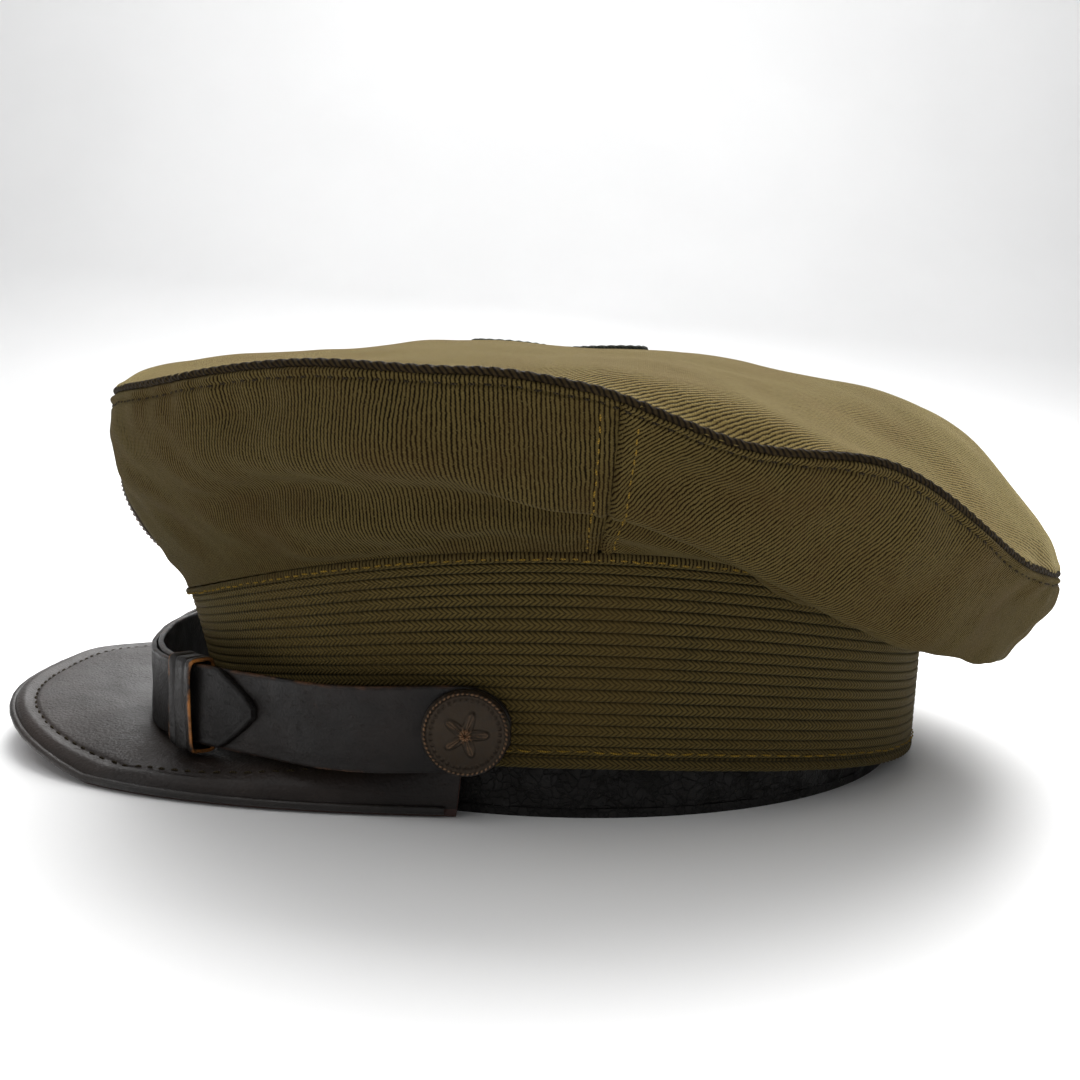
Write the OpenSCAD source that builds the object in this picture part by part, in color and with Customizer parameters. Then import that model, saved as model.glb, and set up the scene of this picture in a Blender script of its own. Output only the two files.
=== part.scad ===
// Peaked service cap: soft cloth crown, ribbed braid band, leather visor and
// a two-piece leather chin strap held by a shank button on each side.
// +Z is up, the visor points along -Y, and the wearer's left is +X.

/* [Band] */
// Half length of the band from its centre to the front, at the hem
band_front = 96.5; // [90:0.5:104]
// Half width of the band at the hem
band_side = 84; // [78:0.5:92]
// Half length of the band from its centre to the rear, at the hem
band_rear = 98; // [92:0.5:106]
// Height of the hem above the table at the front, the sides and the rear
hem_heights = [4.5, 13, 0.4];
// Height of the band's top edge at the front, the sides and the rear
band_top_heights = [39, 60.5, 42];
// How far the band leans outward at the front, over its whole height
front_flare = 7; // [0:0.5:10]

/* [Crown] */
// Half width of the crown at its seam
crown_side = 118; // [108:1:126]
// Distance from the band's centre to the rear of the crown
crown_rear = 133; // [122:1:142]
// Distance from the band's centre to the front of the crown
crown_front = 121.5; // [112:0.5:130]
// Height of the middle of the crown above the table
crown_height = 106; // [98:0.5:116]
// Thickness of the wool cloth
cloth_t = 1.4; // [1:0.1:2]
// Gap between the cloth and the lining inside it
lining_gap = 3; // [2:0.5:5]

/* [Visor] */
// Distance from the band's centre to the visor's tip
visor_tip = 150; // [140:1:158]
// Half width of the visor
visor_side = 81; // [76:1:86]
// Thickness of the top leather, the core and the lower leather
visor_layers = [1.3, 1.0, 0.9];
// How far the visor's tip stands above its side rims
visor_lift = 9; // [4:0.5:14]

/* [Chin strap] */
// Width of the leather strap
strap_w = 19; // [16:0.5:22]
// Thickness of one strap
strap_t = 1.5; // [1.2:0.1:2]
// Diameter of the side buttons
button_d = 19; // [16:0.5:22]
// Diameter of the button's shank
shank_d = 3; // [2.4:0.1:4]

/* [Badge] */
// Width of the plain cap badge
badge_w = 30; // [24:1:36]

/* [Hidden] */

wool = [0.45, 0.41, 0.27];
braid = [0.37, 0.34, 0.18];
dark_leather = [0.10, 0.08, 0.07];
tan_leather = [0.35, 0.20, 0.10];
bronze = [0.28, 0.23, 0.18];
steel = [0.6, 0.6, 0.62];
card = [0.75, 0.68, 0.5];

// The middle of the whole cap lies on the Z axis
centre_y = (visor_tip - crown_rear) / 2;
// Segments round a full ring
ring_steps = 48;

// A ring is [front, side, rear half sizes, front, side, rear heights,
// softness of the rear slope (0 for a plain oval), dip of the rear quarter]
hem_ring = [band_front, band_side, band_rear,
    hem_heights[0], hem_heights[1], hem_heights[2], 0, 0];
band_mid_ring = [band_front + 0.3 * front_flare, band_side + 1, band_rear + 0.7,
    (hem_heights[0] + band_top_heights[0]) / 2, (hem_heights[1] + band_top_heights[1]) / 2,
    (hem_heights[2] + band_top_heights[2]) / 2, 0, 0];
band_top_ring = [band_front + front_flare, band_side + 2, band_rear + 1,
    band_top_heights[0], band_top_heights[1], band_top_heights[2], 0, 0];
band_rings = [hem_ring, band_mid_ring, band_top_ring];

seam_heights = [91, 94, 50];
side_rings = [
    [band_front + front_flare + 2, band_side + 4.5, band_rear + 6.5,
        band_top_heights[0], band_top_heights[1], band_top_heights[2], 0, 0],
    [band_front + 12, band_side + 9, band_rear + 11, 48, 63.5, 33, 0.4, 2],
    [crown_front - 7, crown_side - 16, crown_rear - 16, 58, 69, 28, 0.15, 4],
    [crown_front - 0.5, crown_side - 4, crown_rear - 5, 72, 84, 38, 0.15, 3],
    [crown_front, crown_side, crown_rear,
        seam_heights[0], seam_heights[1], seam_heights[2], 0.15, 2]];
top_rings = [
    [crown_front, crown_side, crown_rear,
        seam_heights[0], seam_heights[1], seam_heights[2], 0.15, 2],
    [crown_front - 9, crown_side - 10, crown_rear - 7, 97.5, 98.5, 66, 0.15, 7],
    [crown_front - 36, crown_side - 40, crown_rear - 36, 101.5, 101.5, 91.5, 0.15, 2],
    [crown_front * 0.35, crown_side * 0.35, crown_rear * 0.35,
        crown_height - 1, crown_height - 1.4, crown_height - 2, 0, 0],
    [2, 2, 2, crown_height, crown_height, crown_height, 0, 0]];

// A ring's height at angle t, where 0 is the front and 90 the left side
function ring_z(r, t) = let (c = cos(t), rear = c < 0, x = abs(c),
        e = rear && r[6] > 0 ? x * x * (1 + r[6]) / (x + r[6]) : x * x)
    (rear ? r[5] : r[3]) * e + r[4] * (1 - e) - (rear ? r[7] * pow(sin(2 * t), 2) : 0);
function ring_pt(r, t) = let (c = cos(t))
    [r[1] * sin(t), centre_y - (c < 0 ? r[2] : r[0]) * c, ring_z(r, t)];

// A smooth surface through rings: s counts rings, t is the angle round
function clamp(v, low, high) = max(low, min(high, v));
function ease(f) = f * f * (3 - 2 * f);
function skin(rings, s, t) = let (
        last = len(rings) - 1, i = clamp(floor(s), 0, last - 1), f = s - i,
        p0 = ring_pt(rings[max(i - 1, 0)], t), p1 = ring_pt(rings[i], t),
        p2 = ring_pt(rings[i + 1], t), p3 = ring_pt(rings[min(i + 2, last)], t))
    p1 + f / 2 * ((p2 - p0) + f * ((2 * p0 - 5 * p1 + 4 * p2 - p3)
        + f * (3 * (p1 - p2) + p3 - p0)));
function skin_normal(rings, s, t) = let (
        up = skin(rings, min(s + 0.05, len(rings) - 1), t) - skin(rings, max(s - 0.05, 0), t),
        round_it = skin(rings, s, t + 1) - skin(rings, s, t - 1), n = cross(round_it, up))
    n / norm(n);
function skin_pt(rings, s, t, depth) = skin(rings, s, t) - depth * skin_normal(rings, s, t);

// A closed solid between an outer grid and an inner grid of points.
// wrap joins the first row to the last, and tips are the two points of a closed top.
module slab(outer, inner, wrap = false, tips = []) {
    m = len(outer);
    n = len(outer[0]);
    top = n - 1;
    end = m - 1;
    function a(i, j) = (i % m) * n + j;
    function b(i, j) = m * n + a(i, j);
    points = concat([for (row = outer) each row], [for (row = inner) each row], tips);
    rows = [0 : wrap ? m - 1 : m - 2];
    tip = 2 * m * n;
    skins = [for (i = rows, j = [0 : n - 2]) each [
        [a(i, j), a(i, j + 1), a(i + 1, j + 1)], [a(i, j), a(i + 1, j + 1), a(i + 1, j)],
        [b(i, j), b(i + 1, j + 1), b(i, j + 1)], [b(i, j), b(i + 1, j), b(i + 1, j + 1)]]];
    lower_edge = [for (i = rows) each [
        [a(i, 0), a(i + 1, 0), b(i + 1, 0)], [a(i, 0), b(i + 1, 0), b(i, 0)]]];
    upper_edge = [for (i = rows) each tips == []
        ? [[a(i + 1, top), a(i, top), b(i, top)], [a(i + 1, top), b(i, top), b(i + 1, top)]]
        : [[a(i + 1, top), a(i, top), tip], [b(i, top), b(i + 1, top), tip + 1]]];
    ends = wrap ? [] : [for (j = [0 : n - 2]) each [
        [a(0, j + 1), a(0, j), b(0, j)], [a(0, j + 1), b(0, j), b(0, j + 1)],
        [a(end, j), a(end, j + 1), b(end, j + 1)], [a(end, j), b(end, j + 1), b(end, j)]]];
    polyhedron(points, concat(skins, lower_edge, upper_edge, ends), convexity = 8);
}

// A layer of a surface, from ring s0 to s1, between two depths, over angles t0 to t1
module layer(rings, s0, s1, depths, t0 = 0, t1 = 360, rows = 2, steps = ring_steps) {
    wrap = t1 - t0 == 360;
    angles = [for (i = [0 : wrap ? steps - 1 : steps]) t0 + (t1 - t0) * i / steps];
    function grid(depth) = [for (t = angles) [for (j = [0 : rows])
        skin_pt(rings, s0 + (s1 - s0) * j / rows, t, depth)]];
    slab(grid(depths[0]), grid(depths[1]), wrap);
}

// A round cord along a path: closed joins its end to its start
module cord(path, r, closed = false, sides = 8) {
    m = len(path);
    function at(i) = path[closed ? (i + m) % m : clamp(i, 0, m - 1)];
    function hoop(i) = let (d = at(i + 1) - at(i - 1), dir = d / norm(d),
            x = cross(dir, [0, 0, 1]), side = x / norm(x), up = cross(side, dir))
        [for (k = [0 : sides - 1]) let (w = 360 * k / sides)
            path[i] + r * (cos(w) * side + sin(w) * up)];
    points = [for (i = [0 : m - 1]) each hoop(i)];
    function a(i, k) = (i % m) * sides + k % sides;
    walls = [for (i = [0 : closed ? m - 1 : m - 2], k = [0 : sides - 1]) each [
        [a(i, k), a(i + 1, k + 1), a(i + 1, k)], [a(i, k), a(i, k + 1), a(i + 1, k + 1)]]];
    ends = closed ? [] : [[for (k = [sides - 1 : -1 : 0]) a(0, k)],
        [for (k = [0 : sides - 1]) a(m - 1, k)]];
    polyhedron(points, concat(walls, ends), convexity = 8);
}

// ---- Crown ----
top_step = len(top_rings) - 1;
top_start = 0.26;
panel_end = 3.82;
module crown_top() {
    rows = 8;
    angles = [for (i = [0 : ring_steps - 1]) 360 * i / ring_steps];
    function grid(depth) = [for (t = angles) [for (j = [0 : rows])
        skin_pt(top_rings, top_start + (top_step - top_start) * j / rows, t, depth)]];
    color(wool) slab(grid(0), grid(cloth_t), true,
        [[0, centre_y, crown_height], [0, centre_y, crown_height - cloth_t]]);
}

// One of the four side panels, between two angles
module side_panel(t0, t1) {
    seam_gap = 0.3;
    color(wool) difference() {
        layer(side_rings, 0.22, panel_end, [0, cloth_t],
            t0 + seam_gap, t1 - seam_gap, rows = 9, steps = 12);
        if (t0 == 0 || t1 == 0) post_hole();
    }
}
side_seam = 93;
module crown_panel_front_left() side_panel(0, side_seam);
module crown_panel_front_right() side_panel(-side_seam, 0);
module crown_panel_rear_left() side_panel(side_seam, 180);
module crown_panel_rear_right() side_panel(180, 360 - side_seam);

function seam_path(depth, drop) = [for (i = [0 : ring_steps - 1]) let (t = 360 * i / ring_steps)
    skin_pt(side_rings, 4, t, depth) - [0, 0, drop]];
module crown_seam_welt() color(wool) cord(seam_path(0.2, 0), 1, true, 6);

grommet_r = 1.2;
module crown_grommet() color(steel) cord(seam_path(5.2, 4), grommet_r, true, 6);

module crown_lining() {
    rows = 6;
    angles = [for (i = [0 : ring_steps - 1]) 360 * i / ring_steps];
    inside = lining_gap + 6;
    function upper(depth) = [for (t = angles) concat(
        [for (j = [0 : 2]) skin_pt(side_rings, 0.5 + j * 0.9, t, depth - 4)],
        [for (j = [0 : rows - 3]) skin_pt(top_rings, 0.9 + 2.9 * j / (rows - 3), t, depth)])];
    color(card) slab(upper(inside), upper(inside + 0.8), true,
        [[0, centre_y, crown_height - inside], [0, centre_y, crown_height - inside - 0.8]]);
}

// A plain cord laid on the crown in four open loops
trim_loop = 30;
trim_waist = 16;
trim_shift = -3;
trim_r = 1.2;
trim_steps = 72;
function reach_of(i, t) = let (p = ring_pt(top_rings[i], t)) norm([p[0], p[1] - centre_y]);
function dome_pt(x, y, above) = let (t = atan2(x, -y), r = norm([x, y]),
        r3 = reach_of(3, t), r2 = reach_of(2, t),
        s = r < r3 ? top_step - r / r3 : top_step - 1 - (r - r3) / (r2 - r3))
    skin_pt(top_rings, s, t, -above);
module crown_cord_trim() color(dark_leather) cord([for (i = [0 : trim_steps - 1]) let (
        w = 360 * i / trim_steps,
        reach = (trim_loop + trim_waist) / 2 - (trim_loop - trim_waist) / 2 * cos(4 * w))
    dome_pt(reach * sin(w), trim_shift - reach * cos(w), trim_r + 0.4)], trim_r, true, 6);

stay_angle = 16;
module front_stay() color(card) difference() {
    layer(side_rings, 0.35, 3.3, [2.2, 3.2], -stay_angle, stay_angle, rows = 6, steps = 6);
    post_hole();
}

// ---- Band ----
module band_top_edge() color(wool) layer(band_rings, 1.88, 2, [-3.2, -1.9], rows = 1);
module shank_holes() for (side = [-1, 1]) button_axis(side)
    cylinder(h = 2 * band_side, r = shank_d / 2 + 0.3, $fn = 32);
module band_braid() color(braid) difference() {
    layer(band_rings, 0.2, 1.98, [-1.7, -0.3], rows = 3);
    shank_holes();
}
module hem_binding() color(braid) layer(band_rings, 0.0, 0.18, [-1.8, -0.3], rows = 1);
module band_stiffener() color(card) difference() {
    layer(band_rings, 0.02, 1.98, [0, 1.2], rows = 3);
    shank_holes();
}

// The sweatband hangs below the hem down to the table
reed_h = 2;
sweat_low = reed_h + 0.1;
sweat_depths = [3.9, 5.1];
sweat_rings = [
    [band_front, band_side, band_rear, sweat_low, sweat_low, sweat_low, 0, 0],
    [band_front + 1, band_side + 0.5, band_rear + 0.4, 20, 26, 16, 0, 0],
    [band_front + 3, band_side + 1, band_rear + 0.7, 34, 44, 34, 0, 0]];
module sweatband() color(dark_leather) layer(sweat_rings, 0, 2, sweat_depths, rows = 3);

// The reed is a flat-bottomed strip in the fold of the sweatband
reed_rings = [
    [band_front, band_side, band_rear, 0, 0, 0, 0, 0],
    [band_front, band_side, band_rear, reed_h, reed_h, reed_h, 0, 0]];
module sweatband_reed() color(tan_leather) layer(reed_rings, 0, 1, sweat_depths, rows = 1);

// ---- Visor ----
visor_reach = 76;
visor_t = visor_layers[0] + visor_layers[1] + visor_layers[2];
rim_power = 2.5;
rim_start = 24;
flat_rim = 66;
visor_tuck = -0.07;
hem_gap = 0.7;
glue_gap = 0.08;
visor_cols = 36;
visor_rows = 6;
function sgn_pow(v, p) = sign(v) * pow(abs(v), p);
function rim_xy(u) = let (w = 90 * u)
    [(visor_side + 0.6) * sgn_pow(sin(w), 2 / rim_power),
     centre_y - rim_start - (visor_tip - rim_start) * pow(max(cos(w), 0), 2 / rim_power)];
function join_pt(u, inset) = let (p = skin_pt(band_rings, 0, visor_reach * u, inset))
    [p[0], p[1], p[2] - hem_gap - visor_t];
// The visor starts outside the band in front and slips below its hem at the ends
function join_inset(u) = 3.2 * pow(u, 4) - 2.2;
function rim_lift(x) = visor_lift * max(0, 1 - pow(abs(x) / flat_rim, 3));
function visor_pt(u, v, up) = let (
        inner = join_pt(u, join_inset(u)), rim = rim_xy(u), low = rim_lift(rim[0]),
        out = max(v, 0), swell = 1.8 * cos(90 * u) * sin(180 * pow(out, 0.8)))
    [inner[0] + (rim[0] - inner[0]) * v, inner[1] + (rim[1] - inner[1]) * v,
     max(0, inner[2] + (low - inner[2]) * pow(out, 0.9) + swell) + up];
module visor_layer(bottom, top, v1) {
    function grid(up) = [for (i = [0 : visor_cols]) [for (j = [0 : visor_rows])
        visor_pt(2 * i / visor_cols - 1,
            j == 0 ? v1 : 1 + (visor_tuck - 1) * j / visor_rows, up)]];
    slab(grid(top), grid(bottom));
}
module visor_underside() color(tan_leather) visor_layer(0, visor_layers[2], 1);
module visor_core() color(card)
    visor_layer(visor_layers[2] + glue_gap, visor_layers[2] + visor_layers[1] - glue_gap, 0.96);
module visor_top() color(dark_leather)
    visor_layer(visor_layers[2] + visor_layers[1], visor_t, 0.985);
welt_r = 0.9;
function rim_out(u) = let (d = rim_xy(u + 0.01) - rim_xy(u - 0.01)) [d[1], -d[0]] / norm(d);
module visor_edge_welt() color(dark_leather) cord([for (i = [0 : visor_cols])
    let (u = 1.9 * i / visor_cols - 0.95, out = rim_out(u) * (welt_r + 0.15))
    visor_pt(u, 1, 0) + [out[0], out[1], visor_layers[2] + visor_layers[1]]], welt_r, false, 6);

// ---- Chin strap ----
button_angle = 77;
button_y = centre_y - band_front * cos(button_angle);
button_z = 21.5;
strap_gap_front = 12;
strap_gap_side = 2;
strap_bow = 6;
strap_z = 18;
strap_steps = 40;
// Each strap runs flat and square to the button's axis from this angle on
flat_angles = [50, 71];
strap_seat = band_side + 2.3;
function lerp(a, b, f) = a + (b - a) * f;
function flat_share(t) =
    ease(clamp((t - flat_angles[0]) / (flat_angles[1] - flat_angles[0]), 0, 1));
// The middle of a strap at angle t: out is its distance beyond the inner strap's face
function strap_mid(t, out) = let (
        turn = clamp(abs(t) / button_angle, 0, 1), side = pow(sin(90 * turn), 2),
        off = strap_gap_front + (strap_gap_side - strap_gap_front) * side
            + strap_bow * pow(sin(180 * turn), 2) + out)
    [sign(t) * lerp((band_side + 1 + off) * sin(abs(t)), strap_seat + out, flat_share(abs(t))),
     centre_y - (band_front + 1 + off) * cos(t), strap_z + (button_z - strap_z) * side];
strap_point = 6;
function strap_half(near) = strap_w / 2 * (near < strap_point
    ? sqrt(1 - 0.92 * pow(1 - near / strap_point, 2)) : 1);
module strap(t0, t1, out) {
    function grid(face) = [for (i = [0 : strap_steps]) let (
            t = t0 + (t1 - t0) * i / strap_steps, half = strap_half(min(t - t0, t1 - t)))
        [for (j = [-1, 1]) strap_mid(t, face) + [0, 0, j * half]]];
    slab(grid(out + strap_t), grid(out));
}
strap_root = 83;
strap_end = 50;
layer_gap = 0.3;
outer_strap = strap_t + layer_gap;
running_gap = 0.08;
module button_axis(side) translate([0, button_y, button_z]) rotate([0, side * 90, 0]) children();
module strap_hole(side) button_axis(side)
    cylinder(h = 2 * crown_side, r = shank_d / 2 + running_gap, $fn = 32);
module strap_left() color(dark_leather) difference() {
    strap(-strap_end, strap_root, 0);
    strap_hole(1);
}
module strap_right() color(dark_leather) difference() {
    strap(-strap_root, strap_end, outer_strap);
    strap_hole(-1);
}

// A keeper is a flat leather loop round the two straps
keeper_w = 10;
keeper_t = 1.5;
keeper_angle = 38;
keeper_gap = 1.1;
keeper_room = [2 * strap_t + layer_gap + 2 * keeper_gap, strap_w + 2 * keeper_gap];
module keeper(side) {
    p = strap_mid(side * keeper_angle, strap_t + layer_gap / 2);
    q = strap_mid(side * keeper_angle + 2, strap_t) - strap_mid(side * keeper_angle - 2, strap_t);
    color(dark_leather) translate(p) rotate([0, 0, atan2(q[1], q[0])]) rotate([90, 0, 90])
        translate([0, 0, -keeper_w / 2]) linear_extrude(keeper_w) difference() {
            square([keeper_room[0] + 2 * keeper_t, keeper_room[1] + 2 * keeper_t], center = true);
            square(keeper_room, center = true);
        }
}
module left_keeper() keeper(1);
module right_keeper() keeper(-1);

// A domed shank button with plain raised rings, held by a split ring inside the band
button_dome = 3.4;
strap_face = [outer_strap + strap_t, strap_t];
function button_seat(side) = strap_seat + strap_face[side > 0 ? 1 : 0] + 0.2;
shank_end = 79;
module button(side) color(bronze) button_axis(side) {
    translate([0, 0, button_seat(side)]) rotate_extrude($fn = 64) polygon([
        [0, 0], [button_d / 2 - 0.6, 0], [button_d / 2, 0.6], [button_d / 2, 1.3],
        [button_d / 2 - 1, 1.9], [button_d / 2 - 1.6, 1.7], [button_d / 4, 2.9],
        [button_d / 4 - 0.8, 2.7], [0, button_dome]]);
    translate([0, 0, shank_end])
        cylinder(h = button_seat(side) + 0.5 - shank_end, d = shank_d, $fn = 32);
}
module left_button() button(1);
module right_button() button(-1);
ring_wire = 0.9;
module button_ring(side) color(steel) button_axis(side) translate([0, 0, shank_end + 0.65])
    rotate_extrude($fn = 48) translate([shank_d / 2 + ring_wire / 2, 0]) circle(d = ring_wire, $fn = 24);
module left_button_ring() button_ring(1);
module right_button_ring() button_ring(-1);

// ---- Badge ----
badge_ring = 2.2;
badge_t = 1.2;
badge_lift = 1.2;
post_d = 2.6;
post_in = 5.2;
nut_t = 1.3;
nut_d = 12;
boss_d = 11;
boss_h = 2.4;
module badge_axis() {
    n = skin_normal(side_rings, badge_ring, 0);
    translate(skin(side_rings, badge_ring, 0)) rotate([atan2(-n[1], n[2]), 0, 0]) children();
}
module post_hole() badge_axis() translate([0, 0, -2 * post_in])
    cylinder(h = 4 * post_in, r = post_d / 2 + 0.3, $fn = 24);
module front_badge() color(bronze) badge_axis() {
    translate([0, 0, badge_lift]) cylinder(h = badge_t, d = badge_w, $fn = 64);
    translate([0, 0, badge_lift + badge_t]) rotate_extrude($fn = 64)
        translate([badge_w / 2 - 2.4, 0]) square([1.4, 0.6]);
    translate([0, 0, badge_lift + badge_t]) cylinder(h = boss_h, d = boss_d, $fn = 48);
    translate([0, 0, -post_in]) cylinder(h = post_in + badge_lift, d = post_d, $fn = 24);
}
module badge_nut() color(bronze) badge_axis() translate([0, 0, -post_in + 0.3]) difference() {
    cylinder(h = nut_t, d = nut_d, $fn = 48);
    translate([0, 0, -1]) cylinder(h = nut_t + 2, d = post_d, $fn = 24);
}

crown_top();
crown_panel_front_left();
crown_panel_front_right();
crown_panel_rear_left();
crown_panel_rear_right();
crown_seam_welt();
crown_lining();
crown_grommet();
crown_cord_trim();
front_stay();
band_top_edge();
band_braid();
band_stiffener();
hem_binding();
sweatband();
sweatband_reed();
visor_top();
visor_core();
visor_underside();
visor_edge_welt();
strap_left();
strap_right();
left_keeper();
right_keeper();
left_button();
right_button();
left_button_ring();
right_button_ring();
front_badge();
badge_nut();
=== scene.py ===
import bpy
import math
import numpy as np
from mathutils import Matrix, Vector


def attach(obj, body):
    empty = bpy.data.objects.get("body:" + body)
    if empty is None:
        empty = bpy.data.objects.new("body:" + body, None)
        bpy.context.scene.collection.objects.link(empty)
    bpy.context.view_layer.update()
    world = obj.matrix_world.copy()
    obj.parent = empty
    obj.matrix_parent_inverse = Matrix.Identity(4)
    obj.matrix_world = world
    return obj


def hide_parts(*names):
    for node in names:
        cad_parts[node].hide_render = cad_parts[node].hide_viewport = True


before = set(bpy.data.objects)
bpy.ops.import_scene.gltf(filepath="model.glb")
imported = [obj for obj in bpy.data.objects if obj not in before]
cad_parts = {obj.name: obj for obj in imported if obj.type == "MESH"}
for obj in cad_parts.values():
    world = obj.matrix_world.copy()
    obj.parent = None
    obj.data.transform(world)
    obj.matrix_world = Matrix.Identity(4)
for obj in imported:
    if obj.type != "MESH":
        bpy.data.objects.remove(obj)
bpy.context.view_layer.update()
MM = 0.001

# ---------------------------------------------------------------- shape of the cap, in mm
# CY is how far behind the origin the cap's centre lies. A ring is one level of the cap:
# its reach to the front, its half width, its reach to the rear, its heights at the front,
# sides and rear, how soft the turn behind the sides is (0 for a plain oval), and how far
# the rear quarters sag.
CY = 8.5
BAND = [[96.5, 84, 98, 4.5, 13, 0.4, 0, 0], [98.6, 85, 98.7, 21.75, 36.75, 21.2, 0, 0],
        [103.5, 86, 99, 39, 60.5, 42, 0, 0]]
SEAM = [121.5, 118, 133, 91, 94, 50, 0.15, 2]
SIDE = [[105.5, 88.5, 104.5, 39, 60.5, 42, 0, 0], [108.5, 93, 109, 48, 63.5, 33, 0.4, 2],
        [114.5, 102, 117, 58, 69, 28, 0.15, 4], [121, 114, 128, 72, 84, 38, 0.15, 3], SEAM]
TOP = [SEAM, [112.5, 108, 126, 97.5, 98.5, 66, 0.15, 7], [85.5, 78, 97, 101.5, 101.5, 91.5, 0.15, 2],
       [42.525, 41.3, 46.55, 105, 104.6, 104, 0, 0], [2, 2, 2, 106, 106, 106, 0, 0]]
SWEAT = [[96.5, 84, 98, 2.1, 2.1, 2.1, 0, 0], [97.5, 84.5, 98.4, 20, 26, 16, 0, 0],
         [99.5, 85, 98.7, 34, 44, 34, 0, 0]]
REED = [[96.5, 84, 98, 0, 0, 0, 0, 0], [96.5, 84, 98, 2, 2, 2, 0, 0]]


def ring(r, t):
    """The points of one ring at angles t, in degrees from the front."""
    c, s = np.cos(np.radians(t)), np.sin(np.radians(t))
    rear, x = c < 0, np.abs(c)
    e = np.where(rear & (r[6] > 0), x * x * (1 + r[6]) / (x + r[6] + 1e-9), x * x)
    z = np.where(rear, r[5], r[3]) * e + r[4] * (1 - e)
    z = z - np.where(rear, r[7] * np.sin(2 * np.radians(t)) ** 2, 0)
    return np.stack([r[1] * s, CY - np.where(rear, r[2], r[0]) * c, z], -1)


def skin(rings, s, t):
    """The smooth surface through a list of rings; s counts the rings, t is the angle."""
    s, t = np.broadcast_arrays(np.asarray(s, float), np.asarray(t, float))
    last = len(rings) - 1
    P = np.stack([ring(r, t) for r in rings])
    i = np.clip(np.floor(s).astype(int), 0, last - 1)
    f = (s - i)[..., None]
    at = lambda k: np.take_along_axis(P, np.clip(k, 0, last)[None, ..., None], 0)[0]
    p0, p1, p2, p3 = at(i - 1), at(i), at(i + 1), at(i + 2)
    return p1 + f / 2 * ((p2 - p0) + f * ((2 * p0 - 5 * p1 + 4 * p2 - p3) + f * (3 * (p1 - p2) + p3 - p0)))


def unit(v):
    return v / np.maximum(np.linalg.norm(v, axis=-1, keepdims=True), 1e-9)


def normal(rings, s, t):
    s, t = np.asarray(s, float), np.asarray(t, float)
    up = skin(rings, np.minimum(s + 0.05, len(rings) - 1), t) - skin(rings, np.maximum(s - 0.05, 0), t)
    return unit(np.cross(skin(rings, s, t + 1) - skin(rings, s, t - 1), up))


def smooth(x, a, b):
    f = np.clip((np.asarray(x, float) - a) / (b - a), 0, 1)
    return f * f * (3 - 2 * f)


def bump(x, at, wide):
    return np.exp(-((np.asarray(x, float) - at) / wide) ** 2)


def through(points, x):
    """A smooth curve through a few (x, y) points, flat at each."""
    px, py = zip(*points)
    i = np.clip(np.searchsorted(px, x, side="right") - 1, 0, len(px) - 2)
    px, py = np.array(px, float), np.array(py, float)
    return py[i] + (py[i + 1] - py[i]) * smooth((x - px[i]) / (px[i + 1] - px[i]), 0, 1)


def rumple(p, size, seed):
    """Smooth random waves from -1 to 1 over points p, about size mm long."""
    rng = np.random.default_rng(seed)
    total = np.zeros(p.shape[:-1])
    for _ in range(9):
        k = unit(rng.normal(size=3)) * 2 * math.pi / (size * rng.uniform(0.6, 1.7))
        total += np.sin(p @ k + rng.uniform(0, 6.28) + 0.8 * np.sin(p @ k[::-1] * 0.7))
    return total / 4.5


# ---------------------------------------------------------------- mesh builders
def add(name, V, faces, uv, mat, body, slot, *nodes, sharp=38):
    me = bpy.data.meshes.new(name)
    me.from_pydata((np.asarray(V) * MM).tolist(), [], [list(map(int, f)) for f in faces])
    if uv is not None:
        layer = me.uv_layers.new(name="weave")
        layer.data.foreach_set("uv", np.asarray(uv, np.float32).ravel())
    me.polygons.foreach_set("use_smooth", [True] * len(me.polygons))
    me.set_sharp_from_angle(angle=math.radians(sharp))
    me.materials.append(mat)
    me.update()
    o = bpy.data.objects.new(name, me)
    bpy.context.scene.collection.objects.link(o)
    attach(o, body)
    if nodes:
        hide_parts(*nodes)
    return o


def grid_index(rows, cols):
    return (a.ravel() for a in np.meshgrid(np.arange(rows), np.arange(cols), indexing="ij"))


def shell_parts(outer, inner, UV, loop):
    """A closed layer between two grids of points. UV is (m + loop, n, 2)."""
    m, n = outer.shape[:2]
    rows = m if loop else m - 1
    I, J = grid_index(rows, n - 1)
    R, C = np.arange(rows), np.arange(n - 1)
    z, top = R * 0, R * 0 + n - 1
    groups = [[(0, I, J), (0, I + 1, J), (0, I + 1, J + 1), (0, I, J + 1)],
              [(1, I, J), (1, I, J + 1), (1, I + 1, J + 1), (1, I + 1, J)],
              [(0, R, z), (1, R, z), (1, R + 1, z), (0, R + 1, z)],
              [(0, R + 1, top), (1, R + 1, top), (1, R, top), (0, R, top)]]
    if not loop:
        a, b = C * 0, C * 0 + m - 1
        groups += [[(0, a, C), (0, a, C + 1), (1, a, C + 1), (1, a, C)],
                   [(0, b, C + 1), (0, b, C), (1, b, C), (1, b, C + 1)]]
    F, U = [], []
    for g in groups:
        F.append(np.stack([k * m * n + (i % m) * n + j for k, i, j in g], -1))
        U.append(np.stack([UV[i, j] for k, i, j in g], 1))
    V = np.concatenate([outer.reshape(-1, 3), inner.reshape(-1, 3)])
    return V, np.concatenate(F), np.concatenate(U)


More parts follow.
